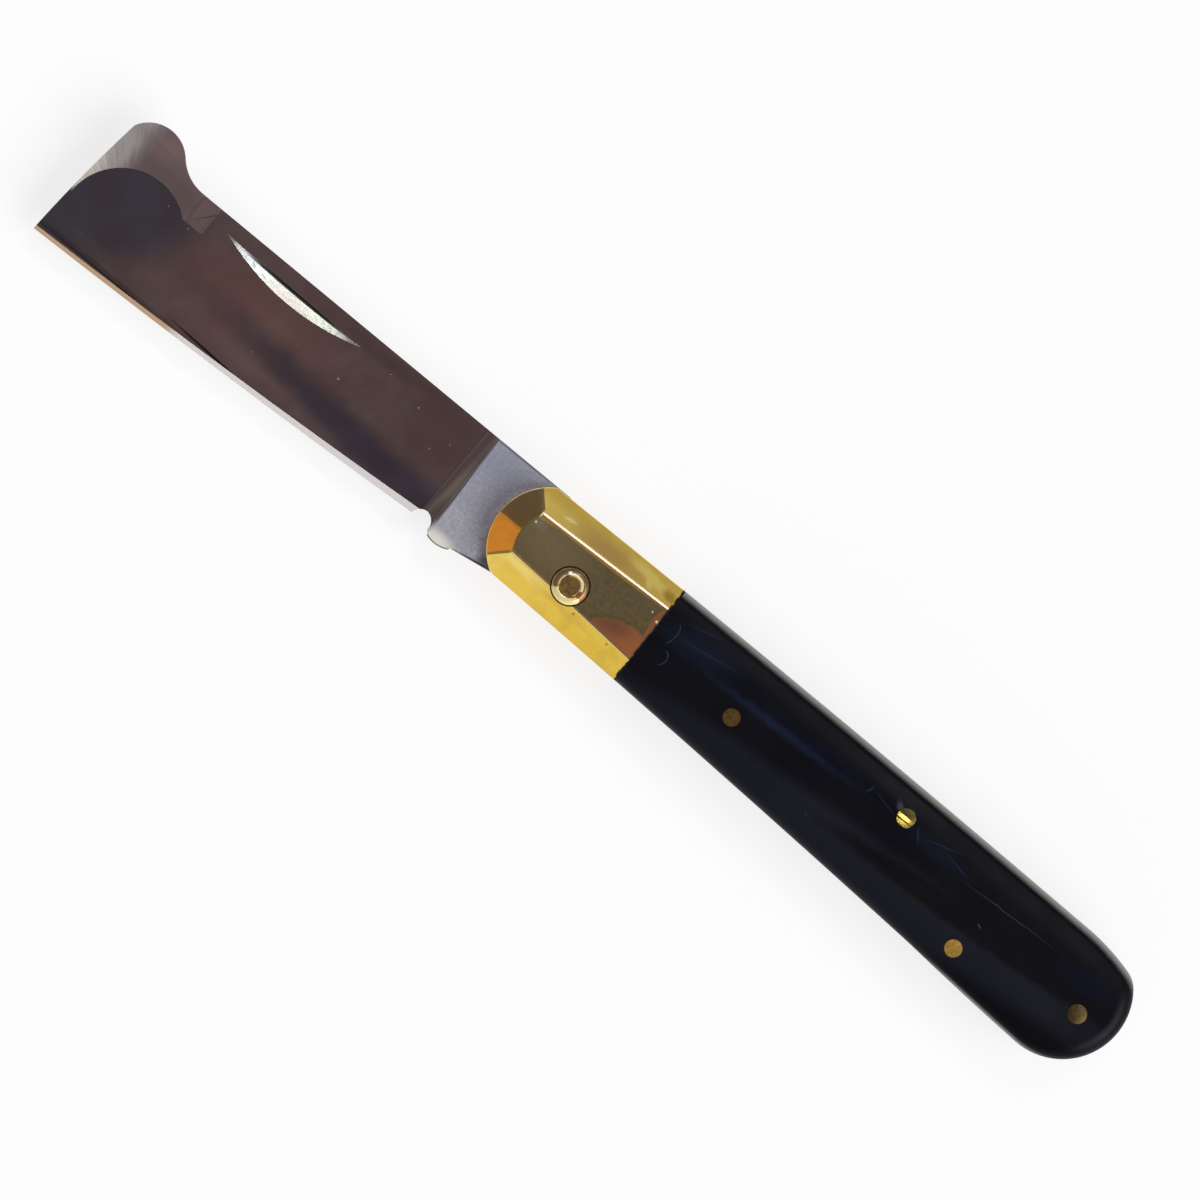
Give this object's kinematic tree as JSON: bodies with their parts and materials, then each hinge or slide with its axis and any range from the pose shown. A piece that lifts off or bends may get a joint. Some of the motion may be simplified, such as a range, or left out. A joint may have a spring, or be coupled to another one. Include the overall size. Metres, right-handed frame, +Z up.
{
  "type": "folding grafting knife",
  "caption": "Folding grafting knife lying open: a straight edge ends in a round bark lifting spur, and a slim black grip with bevelled brass bolsters takes the blade.",
  "frame": {"origin": "middle of the open knife's outline, on the surface that it lies on", "axes": "+X along the open knife towards the blade's end, +Y towards the cutting edge, +Z up through its side"},
  "size_m": [0.1718, 0.0236, 0.0126],
  "materials": {
    "blade_steel": "polished",
    "spring_steel": "satin",
    "liner_metal": "satin",
    "black_grip": "polished",
    "bolster_brass": "polished",
    "pin_brass": "satin"
  },
  "bodies": {
    "handle": {"backspring": "spring_steel", "pivot_pin": "pin_brass", "spring_pin": "pin_brass", "butt_pin": "pin_brass", "upper_liner": "liner_metal", "upper_bolster": "bolster_brass", "upper_scale": "black_grip", "upper_rosette": "pin_brass", "upper_fore_scale_pin": "pin_brass", "upper_aft_scale_pin": "pin_brass", "upper_fore_bolster_stud": "bolster_brass", "upper_aft_bolster_stud": "bolster_brass", "lower_liner": "liner_metal", "lower_bolster": "bolster_brass", "lower_scale": "black_grip", "lower_rosette": "pin_brass", "lower_fore_scale_pin": "pin_brass", "lower_aft_scale_pin": "pin_brass", "lower_fore_bolster_stud": "bolster_brass", "lower_aft_bolster_stud": "bolster_brass"},
    "blade": {"blade": "blade_steel"}
  },
  "joints": [
    {"name": "blade_pivot", "type": "hinge", "parent": "handle", "child": "blade", "pos_m": [0.0039, 0.00187, 0.0063], "axis": [0, 0, 1], "range_deg": [0, 174.4], "deforming": ["backspring"]}
  ]
}
